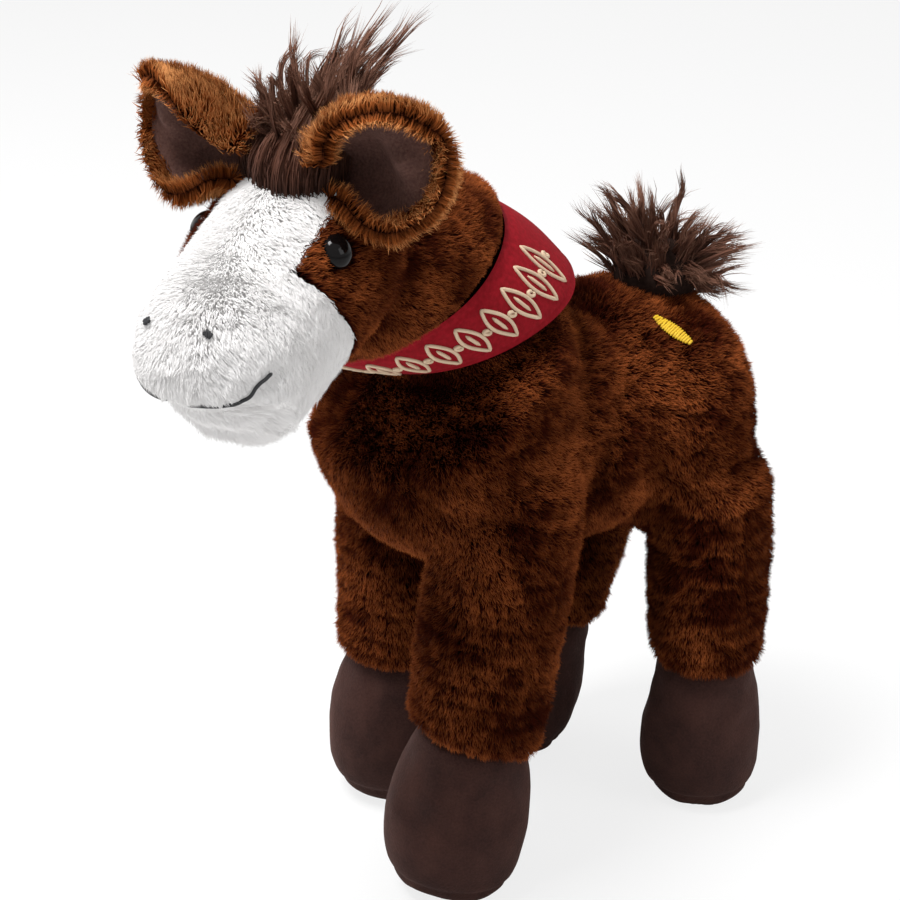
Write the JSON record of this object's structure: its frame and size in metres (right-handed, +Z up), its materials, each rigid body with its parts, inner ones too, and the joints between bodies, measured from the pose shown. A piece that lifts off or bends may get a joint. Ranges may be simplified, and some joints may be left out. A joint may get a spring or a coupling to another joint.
{
  "type": "plush horse",
  "caption": "Standing stuffed toy horse foal with soft jointed legs, neck, ears and tail, a white face, dark velour hooves and a cloth band round the neck.",
  "frame": {"origin": "centre of the bounding box at the floor", "axes": "+Z up, the horse's trunk looks along -Y, its left side is +X"},
  "size_m": [0.1382, 0.2552, 0.3137],
  "materials": {
    "brown_plush": "short chestnut pile, combed down, matte",
    "white_plush": "longer white pile, matte",
    "dark_velour": "dark brown close velour, matte",
    "mane_plush": "long dark brown pile in loose locks, matte",
    "stuffing": "loose polyester fibre",
    "scarf_cloth": "dark red woven cloth with a sewn edge and cream stitching",
    "eye_plastic": "black, polished",
    "washer_plastic": "plain, hidden inside the head"
  },
  "bodies": {
    "torso": {"trunk_skin_left": "brown_plush", "trunk_skin_right": "brown_plush", "trunk_stuffing": "stuffing"},
    "leg_front_left": {"leg_skin_front_left": "brown_plush", "leg_stuffing_front_left": "stuffing", "hoof_front_left": "dark_velour"},
    "leg_front_right": {"leg_skin_front_right": "brown_plush", "leg_stuffing_front_right": "stuffing", "hoof_front_right": "dark_velour"},
    "leg_hind_left": {"leg_skin_hind_left": "brown_plush", "leg_stuffing_hind_left": "stuffing", "hoof_hind_left": "dark_velour"},
    "leg_hind_right": {"leg_skin_hind_right": "brown_plush", "leg_stuffing_hind_right": "stuffing", "hoof_hind_right": "dark_velour"},
    "neck": {"neck_skin": "brown_plush", "neck_stuffing": "stuffing"},
    "scarf": {"scarf": "scarf_cloth"},
    "head": {"head_skin": "brown_plush", "face_panel": "white_plush", "head_stuffing": "stuffing", "eye_left": "eye_plastic", "eye_right": "eye_plastic", "eye_washer_left": "washer_plastic", "eye_washer_right": "washer_plastic", "forelock": "mane_plush"},
    "ear_left": {"ear_outer_left": "brown_plush", "ear_lining_left": "dark_velour"},
    "ear_right": {"ear_outer_right": "brown_plush", "ear_lining_right": "dark_velour"},
    "tail": {"tail": "mane_plush"}
  },
  "joints": [
    {"name": "leg_front_left_swing", "type": "hinge", "parent": "torso", "child": "leg_front_left", "pos_m": [0.02175, 0.01176, 0.142], "axis": [1, 0, 0], "range_deg": [-30, 12], "stiffness_Nm_per_rad": 0.6},
    {"name": "leg_front_right_swing", "type": "hinge", "parent": "torso", "child": "leg_front_right", "pos_m": [-0.04425, 0.01176, 0.142], "axis": [1, 0, 0], "range_deg": [-30, 2], "stiffness_Nm_per_rad": 0.6},
    {"name": "leg_hind_left_swing", "type": "hinge", "parent": "torso", "child": "leg_hind_left", "pos_m": [0.02175, 0.09676, 0.126], "axis": [1, 0, 0], "range_deg": [-15, 28], "stiffness_Nm_per_rad": 0.6},
    {"name": "leg_hind_right_swing", "type": "hinge", "parent": "torso", "child": "leg_hind_right", "pos_m": [-0.04425, 0.09676, 0.126], "axis": [1, 0, 0], "range_deg": [-2, 33], "stiffness_Nm_per_rad": 0.6},
    {"name": "neck_nod", "type": "hinge", "parent": "torso", "child": "neck", "pos_m": [-0.01125, -0.00024, 0.217], "axis": [1, 0, 0], "range_deg": [-8, 8], "stiffness_Nm_per_rad": 1.5},
    {"name": "head_turn", "type": "hinge", "parent": "neck", "child": "head", "pos_m": [-0.01125, -0.00024, 0.217], "axis": [0, -0.5592, 0.829], "range_deg": [-40, 8], "stiffness_Nm_per_rad": 1},
    {"name": "scarf_turn", "type": "hinge", "parent": "neck", "child": "scarf", "pos_m": [-0.01125, -0.00024, 0.217], "axis": [0, -0.5592, 0.829], "range_deg": [-30, 30]},
    {"name": "ear_left_fold", "type": "hinge", "parent": "head", "child": "ear_left", "pos_m": [0.03798, -0.05448, 0.2731], "axis": [-0.0275, -0.5026, 0.8641], "range_deg": [-15, 15], "stiffness_Nm_per_rad": 0.05},
    {"name": "ear_right_fold", "type": "hinge", "parent": "head", "child": "ear_right", "pos_m": [0.00619, -0.07138, 0.2731], "axis": [-0.432, 0.2583, -0.8641], "range_deg": [-15, 15], "stiffness_Nm_per_rad": 0.05},
    {"name": "tail_swing", "type": "hinge", "parent": "torso", "child": "tail", "pos_m": [-0.01125, 0.09376, 0.194], "axis": [1, 0, 0], "range_deg": [-12, 12], "stiffness_Nm_per_rad": 0.05}
  ]
}
